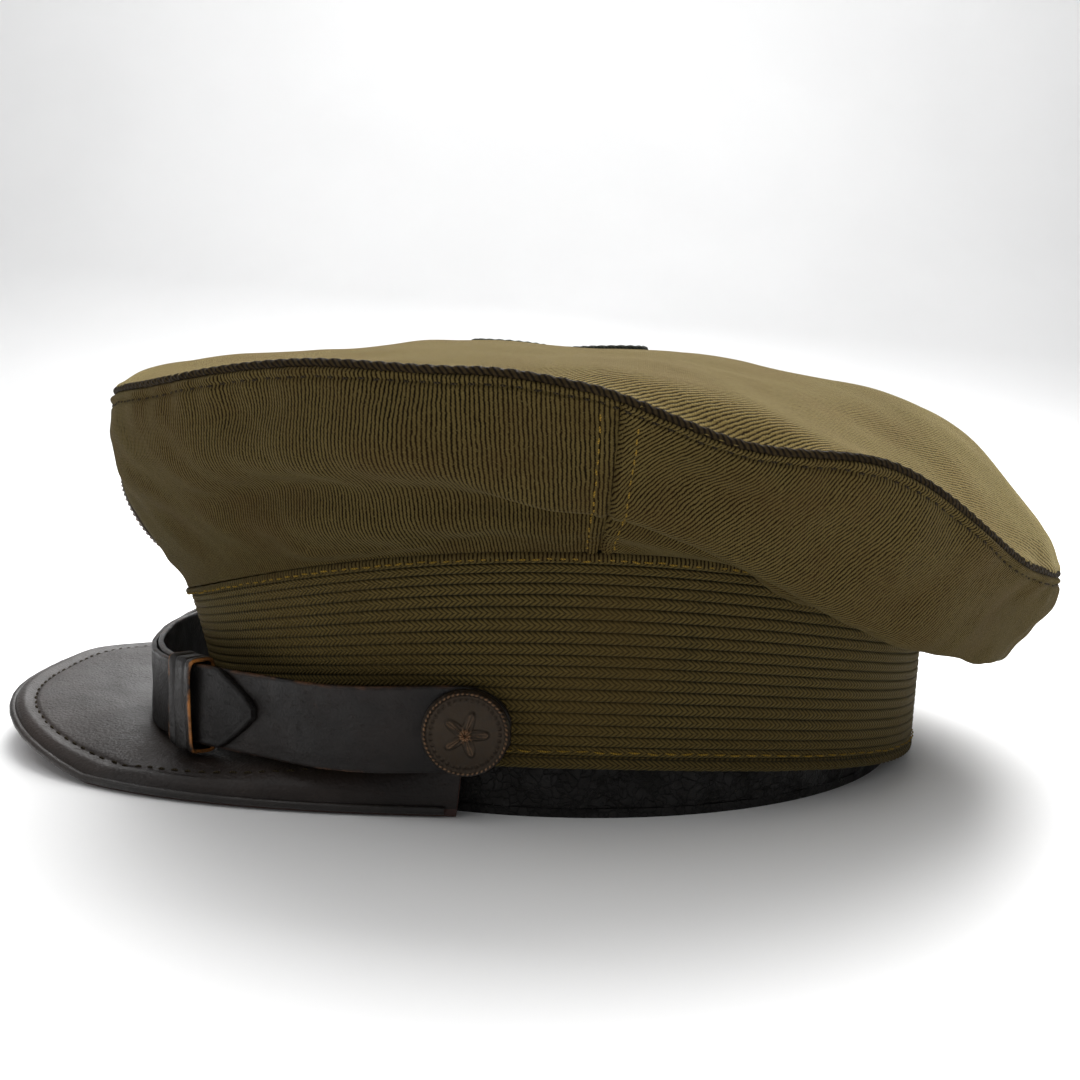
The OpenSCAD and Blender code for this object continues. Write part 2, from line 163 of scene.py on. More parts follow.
def tube_parts(P, N, radius, sides=10, closed=False, shape=None):
    """A cord along points P with normals N. shape(length, angle) multiplies its radius."""
    P = np.asarray(P, float)
    d = np.roll(P, -1, 0) - np.roll(P, 1, 0) if closed else np.gradient(P, axis=0)
    d = unit(d)
    x = unit(np.cross(d, N))
    y = np.cross(x, d)
    step = np.linalg.norm(np.diff(P, axis=0), axis=1)
    L = np.concatenate([[0], np.cumsum(step)])
    w = np.arange(sides) * 2 * math.pi / sides
    r = np.broadcast_to(np.asarray(radius, float).reshape(-1, 1), (len(P), 1)) * np.ones((1, sides))
    if shape:
        r = r * shape(L[:, None], w[None, :])
    across = np.cos(w)[None, :, None] * x[:, None] + np.sin(w)[None, :, None] * y[:, None]
    G = P[:, None] + r[..., None] * across
    m = len(P)
    I, J = grid_index(m if closed else m - 1, sides)
    L2 = np.append(L, L[-1] + (step[-1] if len(step) else 0))
    corner = [(I, J), (I, J + 1), (I + 1, J + 1), (I + 1, J)]
    F = np.stack([(i % m) * sides + j % sides for i, j in corner], -1)
    U = np.stack([np.stack([L2[i], j * (np.mean(radius) * 6.28 / sides)], -1) for i, j in corner], 1)
    return G.reshape(-1, 3), F, U


def join(parts):
    """Several meshes as one."""
    V, F, U, base = [], [], [], 0
    for v, f, u in parts:
        V.append(v)
        F.append(np.asarray(f) + base)
        U.append(u)
        base += len(v)
    return np.concatenate(V), np.concatenate(F), np.concatenate(U)


def straight_up(p):
    """An upward normal for each point of p."""
    return np.tile([0.0, 0, 1], (len(p), 1))


def upright(z):
    """Vectors that point straight up by z."""
    return np.stack([0 * z, 0 * z, z], -1)


def stitches(P, N, length=2.2, gap=0.9, r=0.27, seed=0, sink=0.08, wander=0.1):
    """Short thread loops along a line of points, each dipping into the cloth at its ends."""
    rng = np.random.default_rng(seed)
    L = np.concatenate([[0], np.cumsum(np.linalg.norm(np.diff(P, axis=0), axis=1))])
    parts, at = [], 0.4
    profile = np.array([0.3, 0.85, 1.0, 0.85, 0.3])
    while at + length < L[-1]:
        n = length * rng.uniform(0.85, 1.1)
        q = np.linspace(at, at + n, 5)
        p = np.stack([np.interp(q, L, P[:, k]) for k in range(3)], -1)
        nn = unit(np.stack([np.interp(q, L, N[:, k]) for k in range(3)], -1))
        side = unit(np.cross(p[-1] - p[0], nn[2]))
        p = p + nn * (np.array([-0.35, 0.05, 0.14, 0.05, -0.35]) * r / 0.27 - sink)[:, None]
        p = p + side * (rng.normal() * wander + np.linspace(-1, 1, 5)[:, None] * rng.normal() * wander)
        parts.append(tube_parts(p, nn, r * profile, 6))
        at += n + gap * rng.uniform(0.8, 1.25)
    return join(parts)


# ---------------------------------------------------------------- materials
class Mat:
    """A material under construction; its methods add nodes and return a socket."""
    def __init__(self, name):
        self.m = bpy.data.materials.new(name)
        self.m.use_nodes = True
        self.t = self.m.node_tree
        self.t.nodes.clear()

    def node(self, kind, inputs=(), out=0, **props):
        n = self.t.nodes.new(kind)
        for k, v in props.items():
            setattr(n, k, v)
        for k, v in dict(inputs).items():
            if isinstance(v, bpy.types.NodeSocket):
                self.t.links.new(v, n.inputs[k])
            else:
                n.inputs[k].default_value = v
        return n.outputs[out] if len(n.outputs) else None

    def math(self, op, *a):
        return self.node("ShaderNodeMath", enumerate(a), operation=op)

    def vmath(self, op, *a):
        return self.node("ShaderNodeVectorMath", enumerate(a), operation=op)

    def place(self):
        """The point's own position, in metres."""
        return self.node("ShaderNodeTexCoord", out=3)

    def weave(self):
        """The two weave coordinates, in mm."""
        xyz = self.t.nodes.new("ShaderNodeSeparateXYZ")
        self.t.links.new(self.node("ShaderNodeUVMap", uv_map="weave"), xyz.inputs[0])
        return xyz.outputs[0], xyz.outputs[1]

    def noise(self, scale, detail=4, rough=0.55, distort=0.0):
        inputs = {"Vector": self.place(), "Scale": scale, "Detail": detail, "Roughness": rough,
                  "Distortion": distort}
        return self.node("ShaderNodeTexNoise", inputs)

    def remap(self, v, a, b, lo=0.0, hi=1.0):
        """From lo to hi, smoothly, as v goes from a to b."""
        inputs = {"Value": v, "From Min": a, "From Max": b, "To Min": lo, "To Max": hi}
        return self.node("ShaderNodeMapRange", inputs, interpolation_type="SMOOTHSTEP")

    def mix(self, f, a, b):
        """Colour a where f is 0 and colour b where it is 1."""
        n = self.t.nodes.new("ShaderNodeMix")
        n.data_type = "RGBA"
        for k, v in ((0, f), (6, a), (7, b)):
            if isinstance(v, bpy.types.NodeSocket):
                self.t.links.new(v, n.inputs[k])
            else:
                n.inputs[k].default_value = (*v, 1) if isinstance(v, tuple) else v
        return n.outputs[2]

    def wave(self, q, pitch):
        """From 0 to 1, once every pitch of q."""
        w = self.math("MULTIPLY", q, 2 * math.pi / pitch)
        return self.math("MULTIPLY_ADD", self.math("SINE", w), 0.5, 0.5)

    def bump(self, height, mm, under=None):
        kw = {"Height": height, "Distance": mm * MM, "Strength": 1.0}
        if under:
            kw["Normal"] = under
        return self.node("ShaderNodeBump", kw)

    def finish(self, color, rough, normal=None, **more):
        kw = {"Base Color": color, "Roughness": rough}
        if normal:
            kw["Normal"] = normal
        kw.update({k.replace("_", " "): v for k, v in more.items()})
        b = self.node("ShaderNodeBsdfPrincipled", kw)
        self.node("ShaderNodeOutputMaterial", {"Surface": b})
        return self.m


def toned(tone, colour):
    return tuple(tone * x for x in colour)


def wool(name, angle, pitch, tone=1.0, sheen=0.12):
    """Whipcord cloth: raised ribs at an angle to the weave, each with fine slanted plies."""
    m = Mat(name)
    u, v = m.weave()
    c, s = math.cos(math.radians(angle)), math.sin(math.radians(angle))
    groove_shade = toned(tone, (0.007, 0.004, 0.001))
    olive = toned(tone, (0.140, 0.102, 0.034))
    brown = toned(tone, (0.062, 0.032, 0.010))
    moss = toned(tone, (0.038, 0.036, 0.009))
    straw = toned(tone, (0.19, 0.145, 0.055))

    wob = m.math("MULTIPLY_ADD", m.noise(420, 4, 0.6), 0.7, -0.35)
    q = m.math("ADD", m.math("ADD", m.math("MULTIPLY", u, c), m.math("MULTIPLY", v, s)), wob)
    r = m.math("SUBTRACT", m.math("MULTIPLY", v, c), m.math("MULTIPLY", u, s))
    rib = m.wave(q, pitch)
    ply = m.wave(m.math("ADD", r, m.math("MULTIPLY", q, 0.9)), 0.6)
    ridge = m.math("MULTIPLY", m.math("POWER", rib, 0.7), 0.55)
    plies = m.math("MULTIPLY", m.math("MULTIPLY", ply, rib), 0.3)
    fibre = m.noise(2600, 4, 0.75)
    fuzz = m.math("MULTIPLY", m.math("ADD", fibre, m.noise(1100, 4, 0.7)), 0.5)
    h = m.math("ADD", m.math("ADD", ridge, plies), fuzz)

    # Painted shade: the colour darkens to near black where h is low, in the grooves between the ribs and
    # plies.
    base = m.mix(m.remap(h, 0.5, 1.15), groove_shade, olive)
    base = m.mix(m.remap(m.noise(45, 6, 0.65), 0.4, 0.72, 0, 0.36), base, brown)
    base = m.mix(m.remap(m.noise(14, 4, 0.55), 0.42, 0.78, 0, 0.22), base, moss)
    flecks = m.remap(m.noise(1900, 2, 0.6), 0.62, 0.70)
    base = m.mix(m.math("MULTIPLY", flecks, 0.45), base, straw)
    n = m.bump(h, 0.2)
    n = m.bump(m.noise(420, 4, 0.6), 0.25, n)
    return m.finish(base, m.remap(fibre, 0.2, 0.8, 0.82, 0.98), n, Sheen_Weight=sheen, Sheen_Roughness=0.25,
                    Sheen_Tint=(0.80, 0.68, 0.36, 1), Specular_IOR_Level=0.05)


def braid_mat(name, row, tone=1.0):
    """Flat rows of mohair braid, each half row of short slanted threads."""
    m = Mat(name)
    u, v = m.weave()
    groove_shade = toned(tone, (0.012, 0.010, 0.004))
    olive = toned(tone, (0.105, 0.074, 0.021))
    brown = toned(tone, (0.070, 0.045, 0.012))
    soil = toned(tone, (0.028, 0.022, 0.007))
    straw = toned(tone, (0.19, 0.145, 0.055))

    wob = m.math("MULTIPLY_ADD", m.noise(330, 2), 0.24, -0.12)
    vv = m.math("ADD", v, wob)
    frac = m.math("FRACT", m.math("MULTIPLY", vv, 1 / row))
    zig = m.math("ABSOLUTE", m.math("MULTIPLY_ADD", frac, 2.0, -1.0))
    thread = m.wave(m.math("ADD", u, m.math("MULTIPLY", zig, row * 0.62)), 1.15)
    fold = m.math("ABSOLUTE", m.math("SINE", m.math("MULTIPLY", vv, math.pi / row)))
    mid = m.math("ABSOLUTE", m.math("SINE", m.math("MULTIPLY", vv, 2 * math.pi / row)))
    dip = m.math("MULTIPLY_ADD", m.math("POWER", mid, 0.5), 0.35, 0.65)
    arch = m.math("MULTIPLY", m.math("POWER", fold, 0.35), dip)
    fibre = m.noise(4600, 3, 0.7)
    h = m.math("MULTIPLY", arch, m.math("MULTIPLY_ADD", m.math("POWER", thread, 0.8), 0.78, 0.22))
    h = m.math("ADD", h, m.math("MULTIPLY", fibre, 0.14))

    # Painted shade: the colour darkens to near black where h is low, in the grooves between the rows and
    # threads.
    base = m.mix(m.remap(h, 0.1, 0.85), groove_shade, olive)
    base = m.mix(m.remap(m.noise(24, 5, 0.6), 0.42, 0.72, 0, 0.5), base, brown)
    base = m.mix(m.remap(m.noise(70, 5, 0.65), 0.55, 0.75, 0, 0.35), base, soil)
    flecks = m.remap(m.noise(1900, 2, 0.6), 0.66, 0.74)
    base = m.mix(m.math("MULTIPLY", flecks, 0.3), base, straw)
    return m.finish(base, m.remap(fibre, 0.2, 0.8, 0.68, 0.92), m.bump(h, 0.34), Sheen_Weight=0.10,
                    Sheen_Roughness=0.35, Sheen_Tint=(0.7, 0.6, 0.26, 1), Specular_IOR_Level=0.1)


def thread_mat(name, colour, dark, pitch=0.5):
    """Twisted thread or cord, one ply every pitch."""
    m = Mat(name)
    u, v = m.weave()
    twist = m.wave(m.math("ADD", u, m.math("MULTIPLY", v, 0.8)), pitch)
    n = m.noise(1500, 3)
    # Painted shade: the colour goes to dark in the grooves between the plies, where twist is low; the next
    # line adds random dark patches.
    base = m.mix(m.remap(m.math("ADD", twist, m.math("MULTIPLY", n, 0.5)), 0.2, 1.1), dark, colour)
    base = m.mix(m.remap(m.noise(60, 3), 0.45, 0.7, 0, 0.5), base, dark)
    return m.finish(base, m.remap(n, 0.3, 0.7, 0.6, 0.9), m.bump(twist, 0.1), Specular_IOR_Level=0.06)


def leather(name, dark, mid, worn, rough, wear, edge=None, coat=0.1, shine=0.3):
    """Old leather: fine grain, long scratches and worn patches. edge is the half width
    from which its rims are worn to the brown below."""
    m = Mat(name)
    u, v = m.weave()
    p = m.place()
    grain = {"Vector": p, "Scale": 1500.0, "Randomness": 1.0}
    fine = m.node("ShaderNodeTexVoronoi", grain, feature="SMOOTH_F1")
    streaks = {"Vector": m.vmath("MULTIPLY", p, (26.0, 9.0, 30.0)), "Scale": 30.0, "Detail": 6.0,
               "Roughness": 0.7, "Distortion": 0.6}
    scratch = m.remap(m.node("ShaderNodeTexNoise", streaks), 0.58, 0.66)
    patch = m.remap(m.noise(22, 6, 0.62), 0.42, 0.68)
    spots = m.remap(m.noise(260, 5, 0.7), 0.66, 0.78)
    base = m.mix(m.math("MULTIPLY", patch, 0.7), dark, mid)
    base = m.mix(m.math("MULTIPLY", scratch, 0.3), base, toned(1.5, mid))
    base = m.mix(m.math("MULTIPLY", spots, wear * 0.15), base, worn)
    if edge:
        ragged = m.math("MULTIPLY_ADD", m.noise(180, 5, 0.7), 2.2, -1.1)
        rub = m.remap(m.math("ADD", m.math("ABSOLUTE", v), ragged), edge[0], edge[1])
        rub = m.math("MULTIPLY", rub, m.remap(m.noise(110, 4, 0.6), 0.42, 0.6))
        base = m.mix(m.math("MULTIPLY", rub, wear), base, worn)
    dull = m.remap(m.noise(48, 5, 0.6), 0.3, 0.7, rough[0], rough[1])
    r = m.math("ADD", dull, m.math("MULTIPLY", scratch, 0.12))
    h = m.math("ADD", m.math("MULTIPLY", fine, -0.8), m.math("MULTIPLY", m.noise(700, 4, 0.6), 0.6))
    n = m.bump(h, 0.12)
    n = m.bump(m.math("SUBTRACT", m.noise(60, 4, 0.5), m.math("MULTIPLY", scratch, 0.2)), 0.18, n)
    return m.finish(base, r, n, Coat_Weight=coat, Coat_Roughness=0.35, Specular_IOR_Level=shine)


def cracked(name):
    """Perished sweatband leather, crazed and flaking."""
    m = Mat(name)
    p = m.place()
    drift = m.node("ShaderNodeTexNoise", {"Vector": p, "Scale": 90.0, "Detail": 4.0}, out=1)
    warp = m.vmath("ADD", p, m.vmath("MULTIPLY", drift, (0.011, 0.011, 0.011)))
    cells = m.node("ShaderNodeTexVoronoi", {"Vector": warp, "Scale": 420.0}, feature="DISTANCE_TO_EDGE")
    small = m.node("ShaderNodeTexVoronoi", {"Vector": warp, "Scale": 1300.0}, feature="DISTANCE_TO_EDGE")
    crack = m.math("MULTIPLY", m.remap(cells, 0.0, 0.09), m.remap(small, 0.0, 0.05, 0.6, 1.0))
    flake = m.remap(m.noise(130, 6, 0.7), 0.53, 0.58)
    base = m.mix(crack, (0.004, 0.0035, 0.003), (0.014, 0.0125, 0.0115))
    base = m.mix(m.math("MULTIPLY", flake, 0.85), base, (0.007, 0.006, 0.005))
    base = m.mix(m.remap(m.noise(520, 5, 0.75), 0.62, 0.7, 0, 0.35), base, (0.07, 0.06, 0.05))
    h = m.math("ADD", m.math("MULTIPLY", crack, 0.6), m.math("MULTIPLY", flake, -0.9))
    n = m.bump(m.math("ADD", h, m.math("MULTIPLY", m.noise(900, 4), 0.3)), 0.5)
    return m.finish(base, m.remap(m.noise(150, 4), 0.3, 0.7, 0.4, 0.85), n, Specular_IOR_Level=0.25)


def bronze_mat(name):
    """Dark bronze with coppery metal where the relief is rubbed. The weave's v is the relief's height."""
    m = Mat(name)
    u, v = m.weave()
    rub = m.remap(m.math("ADD", v, m.math("MULTIPLY_ADD", m.noise(420, 5, 0.7), 0.7, -0.35)), 0.35, 0.95)
    grime = m.remap(m.noise(900, 5, 0.7), 0.4, 0.7)
    base = m.mix(rub, (0.038, 0.027, 0.018), (0.25, 0.145, 0.080))
    base = m.mix(m.math("MULTIPLY", grime, 0.5), base, (0.05, 0.042, 0.034))
    base = m.mix(m.remap(m.noise(160, 4), 0.62, 0.74, 0, 0.5), base, (0.07, 0.085, 0.06))
    n = m.bump(m.noise(1400, 4, 0.65), 0.08)
    return m.finish(base, m.remap(grime, 0, 1, 0.36, 0.62), n, Metallic=0.85)


def wire_mat(name):
    """Plated wire with dull patches of rust."""
    m = Mat(name)
    n = m.noise(900, 5, 0.7)
    base = m.mix(m.remap(n, 0.35, 0.7), (0.30, 0.29, 0.28), (0.62, 0.62, 0.63))
    base = m.mix(m.remap(m.noise(210, 4), 0.6, 0.72, 0, 0.7), base, (0.16, 0.08, 0.04))
    return m.finish(base, m.remap(n, 0.3, 0.7, 0.25, 0.5), m.bump(n, 0.03), Metallic=0.9)


def board_mat(name):
    """Buckram and pressed board: a coarse open weave stiffened with size."""
    m = Mat(name)
    u, v = m.weave()
    tan = (0.50, 0.41, 0.26)
    w = m.math("MULTIPLY", m.wave(u, 1.4), m.wave(v, 1.4))
    n = m.noise(600, 5, 0.65)
    base = m.mix(m.remap(m.math("ADD", w, m.math("MULTIPLY", n, 0.5)), 0.1, 1.0), toned(0.45, tan), tan)
    base = m.mix(m.remap(m.noise(30, 4), 0.5, 0.7, 0, 0.5), base, toned(0.6, tan))
    return m.finish(base, m.remap(n, 0.3, 0.7, 0.75, 0.95), m.bump(w, 0.15))


def lining_mat(name):
    """Satin lining with a fine warp and age stains."""
    m = Mat(name)
    u, v = m.weave()
    w = m.wave(m.math("ADD", u, m.math("MULTIPLY", v, 0.35)), 0.5)
    stain = m.remap(m.noise(16, 6, 0.6, distort=0.8), 0.45, 0.66)
    base = m.mix(m.math("MULTIPLY", w, 0.5), (0.26, 0.19, 0.09), (0.40, 0.31, 0.16))
    base = m.mix(m.math("MULTIPLY", stain, 0.55), base, (0.14, 0.085, 0.035))
    return m.finish(base, m.remap(m.noise(300, 4), 0.3, 0.7, 0.34, 0.52), m.bump(w, 0.05), Sheen_Weight=0.3)


ROWS, PITCH = 18, 2.33
WOOL_FRONT = wool("wool_front", 3, 0.8, tone=0.7)
WOOL_REAR = wool("wool_rear", 150, 0.6, tone=0.8)
# The top is a lit copy of the wool: its tone of 1.4, twice the sides', is painted light from the overhead
# lamp.
WOOL_TOP_LIT = wool("wool_top_lit", 38, 0.66, tone=1.4, sheen=0.6)
WOOL_EDGE = wool("wool_edge", 0, 0.8, tone=0.7)
BRAID = braid_mat("braid", PITCH)
BINDING = braid_mat("binding", 3.0, tone=0.8)
GOLD = thread_mat("gold_thread", (0.30, 0.185, 0.028), (0.12, 0.075, 0.012))
DARK_THREAD = thread_mat("dark_thread", (0.045, 0.034, 0.018), (0.010, 0.008, 0.005))
ROPE = thread_mat("rope", (0.030, 0.020, 0.008), (0.006, 0.004, 0.002), 1.3)
TRIM = thread_mat("trim", (0.030, 0.034, 0.024), (0.006, 0.007, 0.005), 0.9)
STRAP = leather("strap_leather", (0.006, 0.005, 0.0045), (0.016, 0.011, 0.009), (0.20, 0.085, 0.035),
                (0.34, 0.56), wear=0.6, edge=(8.7, 10.1), coat=0.02, shine=0.22)
STRAP_OUTER = leather("strap_leather_outer", (0.0035, 0.003, 0.003), (0.010, 0.008, 0.007),
                      (0.20, 0.085, 0.035), (0.38, 0.6), wear=0.4, edge=(8.9, 10.3), coat=0.0, shine=0.2)
KEEPER = leather("keeper_leather", (0.006, 0.005, 0.0045), (0.016, 0.011, 0.009), (0.42, 0.16, 0.035),
                 (0.34, 0.56), wear=1.0, edge=(8.0, 9.6), coat=0.03)
VISOR = leather("visor_leather", (0.012, 0.0085, 0.007), (0.032, 0.023, 0.019), (0.09, 0.05, 0.03),
                (0.36, 0.52), wear=0.25, coat=0.0, shine=0.24)
VISOR_EDGE = leather("visor_edge_leather", (0.010, 0.008, 0.007), (0.030, 0.022, 0.018),
                     (0.15, 0.06, 0.03), (0.3, 0.6), wear=0.7)
UNDER = leather("under_leather", (0.035, 0.012, 0.008), (0.07, 0.024, 0.015), (0.13, 0.06, 0.035),
                (0.35, 0.6), wear=0.3)
SWEATBAND = cracked("sweatband_leather")
BRONZE = bronze_mat("dark_bronze")
WIRE = wire_mat("wire")
BOARD = board_mat("board")
SATIN = lining_mat("satin")

# ---------------------------------------------------------------- crown
# the rise of the crown seam, in mm, at angles along the near side and the far side
NEAR_WAVE = [(0, 0), (35, 0.5), (64, 3.3), (80, 1.6), (101, -3.9), (118, 4.6), (140, -2.2),
             (160, -1.0), (180, 0)]
FAR_WAVE = [(180, 0), (205, 1.5), (235, -2.4), (262, 1.6), (290, -1.0), (318, 2.2), (345, 0.6), (360, 0)]
SIDE_SEAM = 93
SEAM_RADIUS, PANEL_RADIUS, CLOTH = 118, 114, 1.3


def seam_wave(t):
    t = np.mod(t, 360)
    near, far = through(NEAR_WAVE, np.minimum(t, 180)), through(FAR_WAVE, np.maximum(t, 180))
    return np.where(t < 180, near, far)

def side_point(s, t, out=0.0):
    """A point of the cloth side with its folds."""
    s, t = np.broadcast_arrays(np.asarray(s, float), np.asarray(t, float))
    p, n = skin(SIDE, s, t), normal(SIDE, s, t)
    tt = np.mod(t, 360)
    half = np.where(tt > 180, 360 - tt, tt)
    free = smooth(s, 0.15, 1.0) * (1 - smooth(s, 3.3, 3.95))
    fold_at = through([(0, 2.4), (72, 2.62), (93, 2.05), (127, 1.95), (180, 1.9)], half)
    fold_on = smooth(half, 30, 66) * np.where(tt > 180, 0.7, 1.0)
    d = -4.4 * bump(s, fold_at - 0.28, 0.30) * fold_on + 3.4 * bump(s, fold_at + 0.30, 0.34) * fold_on
    d += 2.0 * rumple(p, 62, 3) * free + 0.8 * rumple(p * [1, 1, 2.2], 26, 5) * free
    d += 1.6 * bump(half, 118, 9) * bump(s, 3.4, 0.6) - 1.2 * bump(half, 101, 6) * bump(s, 3.3, 0.6)
    near = smooth(s, 3.1, 3.75)
    arc = np.radians(t) * SEAM_RADIUS
    pucker = 0.34 * np.sin(arc / 2.1 + 3 * np.sin(arc / 17)) + 0.35 * np.sin(arc / 5.3 + 1)
    d += near * (1 - smooth(s, 3.85, 4)) * pucker
    d += -0.55 * bump(s, 3.76, 0.045) - 1.5 * smooth(s, 3.86, 4.0) ** 2
    for seam in (0, SIDE_SEAM, 180, 360 - SIDE_SEAM, 360):
        w = (tt - seam) * 1.85
        ridge = 0.35 * bump(np.abs(w), 1.5, 0.8) - 0.9 * bump(w, 0, 0.5)
        ridge = ridge + 0.22 * bump(w, 0, 2.4) * np.sin(s * 34)
        d += ridge * (1 - smooth(s, 3.8, 4))
        d += -0.22 * (bump(w, 2.8, 0.4) + bump(w, -2.8, 0.4))
    p = p + n * (d + out)[..., None]
    p[..., 2] += seam_wave(t) * smooth(s, 2.3, 4)
    return p


def top_point(s, t, out=0.0):
    """A point of the cloth top: gently rumpled, tucked in and puckered at the seam."""
    s, t = np.broadcast_arrays(np.asarray(s, float), np.asarray(t, float))
    p, n = skin(TOP, s, t), normal(TOP, s, t)
    free = smooth(s, 0.1, 0.9)
    d = 1.3 * rumple(p, 70, 11) * free + 0.45 * rumple(p, 26, 12) * free
    d += -1.5 * (1 - smooth(s, 0, 0.16)) ** 2 + 0.3 * bump(s, 0.26, 0.12)
    arc = np.radians(t) * SEAM_RADIUS
    d += (1 - smooth(s, 0.3, 1.0)) * smooth(s, 0.05, 0.2) * 0.3 * np.sin(arc / 4.4 + 2 * np.sin(arc / 23))
    p = p + n * (d + out)[..., None]
    tuck = 1.7 * (1 - smooth(s, 0, 0.13))
    p = p - tuck[..., None] * normal(SIDE, 3.95 + 0 * s, t)
    p[..., 2] += seam_wave(t) * (1 - smooth(s, 0, 1.25))
    hump = np.exp(-(((p[..., 0] - 42) / 24) ** 2 + ((p[..., 1] + 20) / 22) ** 2))
    dent = np.exp(-(((p[..., 0] - 36) / 30) ** 2 + ((p[..., 1] - 20) / 20) ** 2))
    p[..., 2] += 2.0 * hump - 1.0 * dent
    return p


def grid_normals(G, loop):
    a = (np.roll(G, -1, 0) - np.roll(G, 1, 0)) if loop else np.gradient(G, axis=0)
    return unit(np.cross(a, np.gradient(G, axis=1)))


def cloth_shell(G, UV, loop):
    return shell_parts(G, G - CLOTH * grid_normals(G, loop), UV, loop)


COLS = 540
t_ring = np.arange(COLS) * 360 / COLS
s_top = np.concatenate([np.linspace(0.0, 0.3, 16), np.linspace(0.34, 3.99, 96)])
G = top_point(s_top[None, :], t_ring[:, None])
flat = skin(TOP, s_top[None, :], np.append(t_ring, 360)[:, None])[..., :2]
add("crown_top_cloth", *cloth_shell(G, flat, True), WOOL_TOP_LIT, "cap", "wool", "crown_top")
apex = G[:, -1].mean(0)
disc = np.vstack([G[:, -1] + [0, 0, 0.02], apex + [0, 0, 0.05]])
F = [[i, (i + 1) % COLS, COLS] for i in range(COLS)]
U = np.array([[disc[k][:2] for k in f] for f in F])
add("crown_top_centre", disc, F, U, WOOL_TOP_LIT, "cap", "wool")

s_side = np.concatenate([np.linspace(0.0, 3.4, 70), np.linspace(3.43, 4.0, 34)])
rise = np.concatenate([[0], np.cumsum(np.linalg.norm(np.diff(skin(SIDE, s_side, 75.0), axis=0), axis=1))])


def side_panel(name, t0, t1, mat, node):
    t = np.linspace(t0, t1, int((t1 - t0) * 1.9))
    G = side_point(s_side[None, :], t[:, None])
    UV = np.stack(np.broadcast_arrays(np.radians(t)[:, None] * PANEL_RADIUS, rise[None, :]), -1)
    add(name, *cloth_shell(G, UV, False), mat, "cap", "wool", node)


side_panel("side_cloth_front_left", 0, SIDE_SEAM, WOOL_FRONT, "crown_panel_front_left")
side_panel("side_cloth_front_right", -SIDE_SEAM, 0, WOOL_FRONT, "crown_panel_front_right")
side_panel("side_cloth_rear_left", SIDE_SEAM, 180, WOOL_REAR, "crown_panel_rear_left")
side_panel("side_cloth_rear_right", 180, 360 - SIDE_SEAM, WOOL_REAR, "crown_panel_rear_right")


def line_on(point, s, t):
    """A line of points on the cloth, and its normals."""
    s, t = np.broadcast_arrays(np.asarray(s, float), np.asarray(t, float))
    p = point(s, t)
    return p, unit(point(s, t, 1.0) - point(s, t, 0.0))


def two_ply(L, w):
    return 1 + 0.13 * np.cos(2 * (w - math.pi * L / 3.1))


tw = np.linspace(0, 360, 1700)[:-1]
p, n = line_on(side_point, 3.99, tw)
p = p + [0, 0, 0.35] + 0.3 * n
add("crown_seam_rope", *tube_parts(p, n, 0.85, 12, True, two_ply), ROPE, "cap", "wool", "crown_seam_welt")
p, n = line_on(side_point, 3.76, np.linspace(0, 360, 1500))
add("crown_topstitch", *stitches(p, n, 2.0, 1.1, 0.27, 1), DARK_THREAD, "cap", "wool")
rows = []
seam_rows = [seam + gap for seam in (SIDE_SEAM, 360 - SIDE_SEAM, 0) for gap in (-1.5, 1.5)]
for k, at in enumerate(seam_rows):
    p, n = line_on(side_point, np.linspace(0.15, 3.7, 160), at)
    rows.append(stitches(p, n, 1.9, 0.4, 0.2, 20 + k, sink=0.02))
add("side_seam_stitches", *join(rows), GOLD, "cap", "wool")

# a plain cord trim, laid over the top in four loops: out to 30 mm at a loop and in to
# 16 mm at a waist, round a point 3 mm in front of the origin
TRIM_MEAN, TRIM_SWING, TRIM_SHIFT = 23, 7, -3


def flat_cord(L, w):
    return 1 + 0.10 * np.cos(2 * (w - math.pi * L / 2.6)) + 0.35 * np.abs(np.cos(w))


w = np.linspace(0, 2 * math.pi, 700, endpoint=False)
reach = TRIM_MEAN - TRIM_SWING * np.cos(4 * w)
x, y = reach * np.sin(w), TRIM_SHIFT - reach * np.cos(w)
t = np.degrees(np.arctan2(x, -y))
r = np.hypot(x, y)
far3 = np.hypot(*(ring(TOP[3], t)[:, :2] - [0, CY]).T)
far2 = np.hypot(*(ring(TOP[2], t)[:, :2] - [0, CY]).T)
s = np.where(r < far3, 4 - r / far3, 3 - (r - far3) / (far2 - far3))
p = top_point(s, t, 0.45)
add("crown_trim_cord", *tube_parts(p, straight_up(p), 0.9, 10, True, flat_cord), TRIM, "cap",
    "trim_cord", "crown_cord_trim")

# ---------------------------------------------------------------- band
BAND_RADIUS = 92
SWEAT_DEPTHS = (3.9, 5.1)
t_band = np.arange(720) * 0.5
AROUND = np.radians(np.append(t_band, 360)) * BAND_RADIUS


def ring_layer(name, rings, s0, s1, depths, mat, slot, node, rows=8, shape=None, height=1.0):
    """A layer all round the cap, between two depths inside the rings' surface. A negative
    depth is outside it."""
    s = np.linspace(s0, s1, rows)
    P, N = skin(rings, s[None, :], t_band[:, None]), normal(rings, s[None, :], t_band[:, None])
    v = np.linspace(0, height, rows)
    d = shape(v[None, :], t_band[:, None], P) if shape else 0 * P[..., 0]
    UV = np.stack(np.broadcast_arrays(AROUND[:, None], v[None, :]), -1)
    outer, inner = P + (d - depths[0])[..., None] * N, P - depths[1] * N
    add(name, *shell_parts(outer, inner, UV, True), mat, "cap", slot, node)


